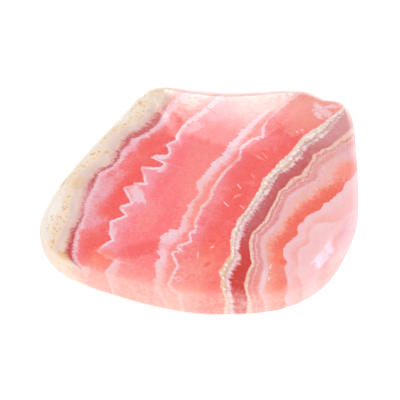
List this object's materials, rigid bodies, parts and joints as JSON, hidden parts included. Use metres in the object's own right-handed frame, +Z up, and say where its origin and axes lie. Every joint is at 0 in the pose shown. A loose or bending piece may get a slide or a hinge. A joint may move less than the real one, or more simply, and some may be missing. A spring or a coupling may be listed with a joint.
{
  "type": "polished rhodochrosite slice",
  "caption": "Free-form polished slice of banded pink rhodochrosite with a pale cream rim layer, tumbled round edges, a gently crowned face and a flat back to lie on.",
  "frame": {"origin": "middle of the flat underside, at the centre of the stone's box", "axes": "+Z up out of the polished face, +X along the stone's length with the cream rim layer at -X, +Y towards its far, thinner edge"},
  "size_m": [0.0444, 0.035, 0.0088],
  "materials": {
    "rhodochrosite": "polished, glossy and slightly translucent, banded in coral pink, white, dusty rose and cream"
  },
  "bodies": {
    "root": {"rhodochrosite_slice": "rhodochrosite"}
  },
  "joints": []
}
